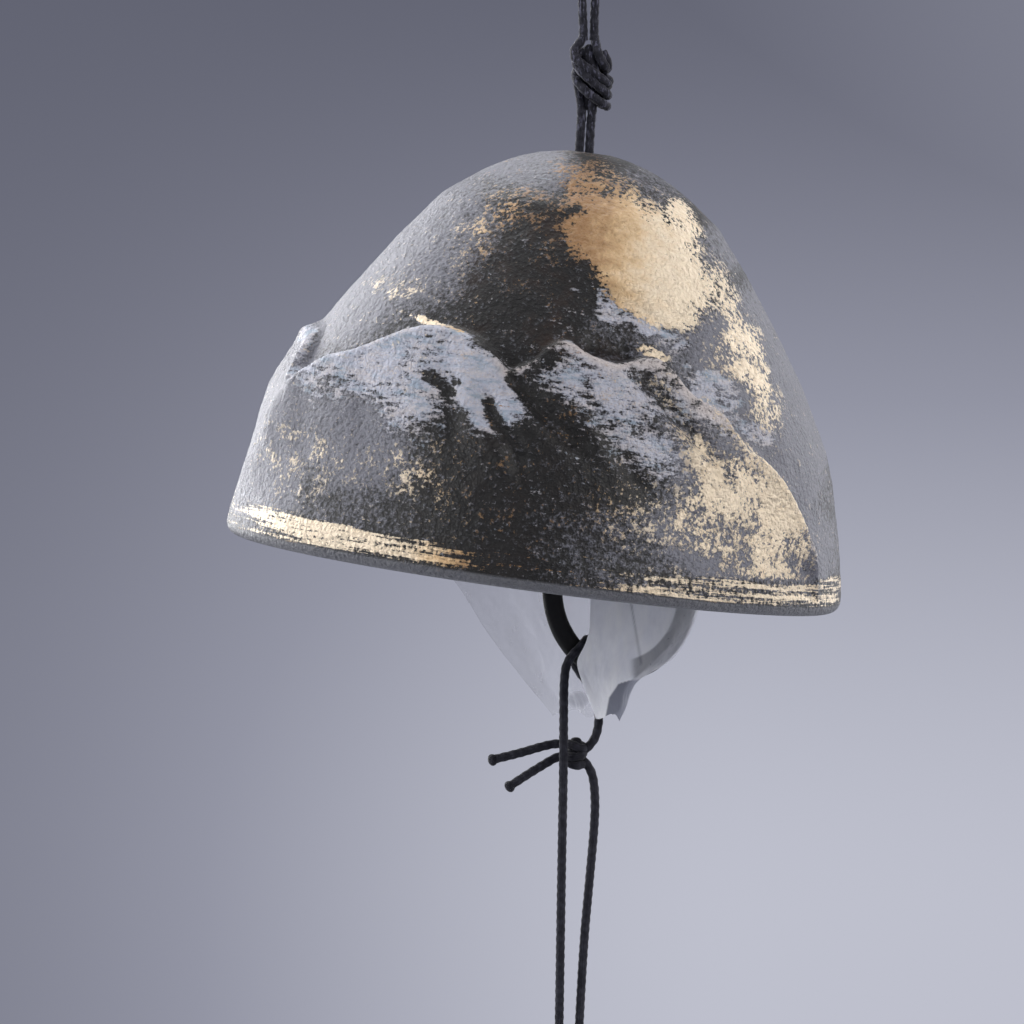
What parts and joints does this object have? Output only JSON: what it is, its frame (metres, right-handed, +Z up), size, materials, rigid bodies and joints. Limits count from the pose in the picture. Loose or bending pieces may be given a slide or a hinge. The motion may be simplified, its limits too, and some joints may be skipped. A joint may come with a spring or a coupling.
{
  "type": "wind bell",
  "caption": "Cast-iron wind bell with a mountain relief, ring clapper in a film wrap, braided cords with knots and a paper wind card.",
  "frame": {"origin": "inside of the hanging loop's top, where the hook bears", "axes": "+Z up, +X to the viewer's right, +Y away from the viewer"},
  "size_m": [0.0798, 0.0804, 0.2466],
  "materials": {
    "black_cord": "tight black braid, matt",
    "gilded_iron": "pebbled black-brown iron with rubbed gold and dry-brushed white",
    "black_iron": "smooth blackened iron",
    "milky_film": "thin milky crumpled film",
    "card_paper": "fibrous plain paper"
  },
  "bodies": {
    "hanger": {"hanging_loop": "black_cord"},
    "knot": {"upper_knot": "black_cord"},
    "neck": {"neck_cord": "black_cord", "stopper_knot": "black_cord"},
    "bell": {"bell": "gilded_iron"},
    "clapper_line": {"clapper_cord": "black_cord", "clapper_hitch": "black_cord"},
    "clapper": {"clapper_ring": "black_iron", "film_wrap": "milky_film"},
    "streamer": {"streamer_cord": "black_cord", "streamer_return": "black_cord", "lower_knot": "black_cord", "knot_tail_upper": "black_cord", "knot_tail_lower": "black_cord"},
    "card": {"card_bight": "black_cord", "wind_card": "card_paper"}
  },
  "joints": [
    {"name": "loop_twist", "type": "hinge", "parent": "hanger", "child": "knot", "pos_m": [0.00017, 0, -0.0237], "axis": [0, 0, 1], "range_deg": [-90, 90]},
    {"name": "neck_swing", "type": "hinge", "parent": "knot", "child": "neck", "pos_m": [-0.00013, 0, -0.03427], "axis": [1, 0, 0], "range_deg": [-12, 12]},
    {"name": "bell_rock", "type": "hinge", "parent": "neck", "child": "bell", "pos_m": [-0.00056, 0, -0.04334], "axis": [0, 1, 0], "range_deg": [-17, 3.4]},
    {"name": "clapper_swing", "type": "hinge", "parent": "bell", "child": "clapper_line", "pos_m": [0.00104, 0, -0.04687], "axis": [0, 1, 0], "range_deg": [-16, 30]},
    {"name": "ring_swing", "type": "hinge", "parent": "clapper_line", "child": "clapper", "pos_m": [0.00229, 0, -0.08407], "axis": [0.9618, 0, 0.2738], "range_deg": [-20, 20]},
    {"name": "streamer_swing", "type": "hinge", "parent": "clapper", "child": "streamer", "pos_m": [-0.00158, 0, -0.10288], "axis": [0.6827, 0, -0.7307], "range_deg": [-10, 10]},
    {"name": "card_turn", "type": "hinge", "parent": "streamer", "child": "card", "pos_m": [-0.0025, 0, -0.1594], "axis": [0, 0, 1], "range_deg": [-90, 90]}
  ]
}
